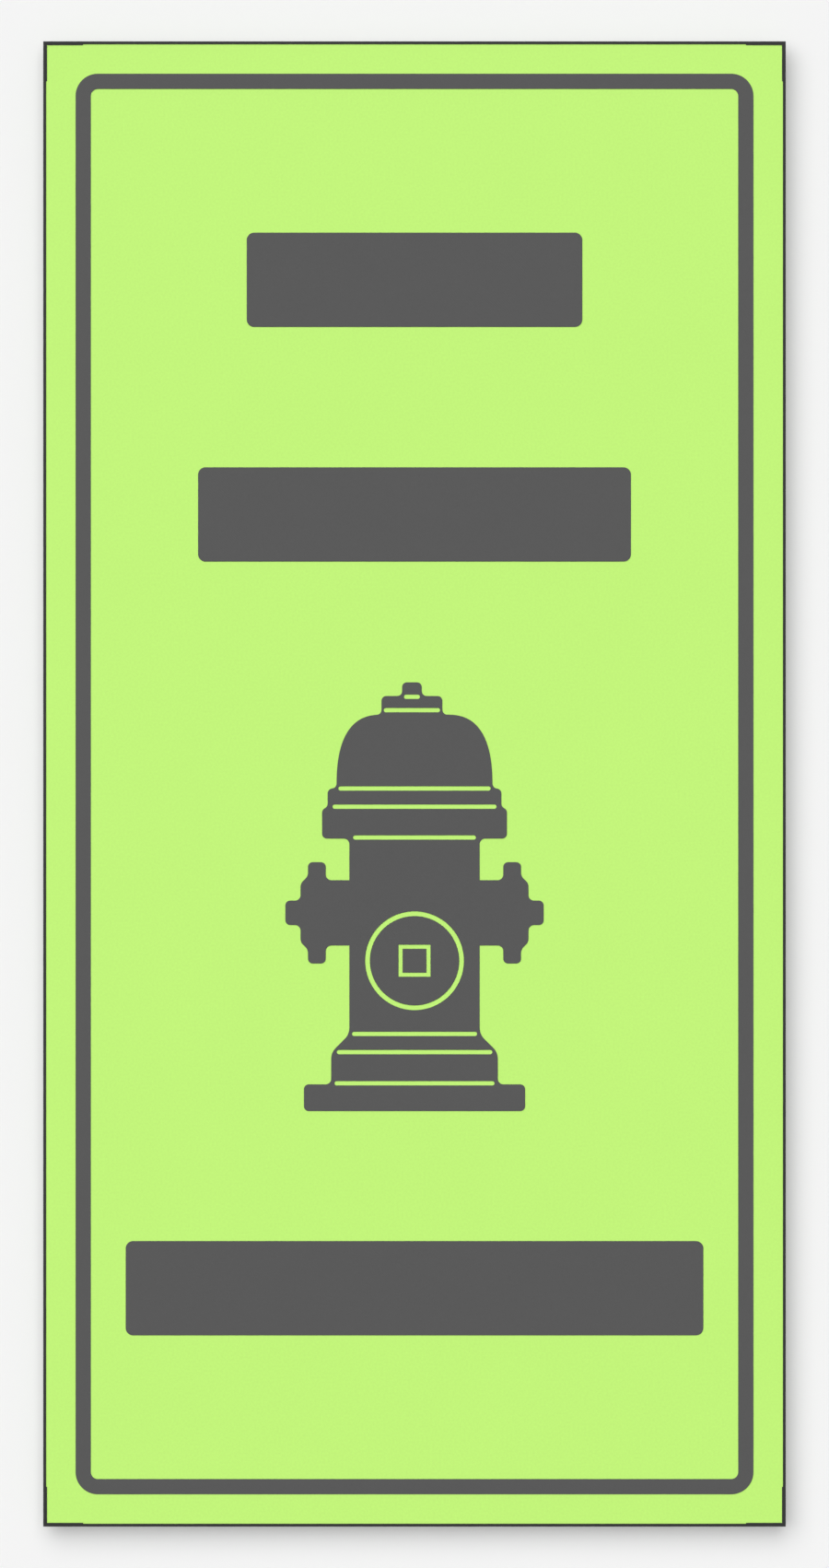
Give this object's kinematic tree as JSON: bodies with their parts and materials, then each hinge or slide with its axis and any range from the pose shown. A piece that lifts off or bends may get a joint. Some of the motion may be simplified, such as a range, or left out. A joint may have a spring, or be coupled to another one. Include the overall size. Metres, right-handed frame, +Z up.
{
  "type": "hydrant sign",
  "caption": "Flat upright plastic wall sign in afterglow green, with a grey rounded border band, a fire hydrant pictogram and plain grey bars above and below it.",
  "frame": {"origin": "middle of the back face, which lies on the wall", "axes": "+Z up along the sign's height, +X to the right of someone facing the print, -Y out of the printed face and +Y into the wall"},
  "size_m": [0.1, 0.0016, 0.2],
  "materials": {
    "sheet": "satin",
    "grey_ink": "satin",
    "dark_ink": "satin"
  },
  "bodies": {
    "root": {"sheet": "sheet", "edge_line": "dark_ink", "border_band": "grey_ink", "hydrant_figure": "grey_ink", "plain_bars": "grey_ink"}
  },
  "joints": []
}
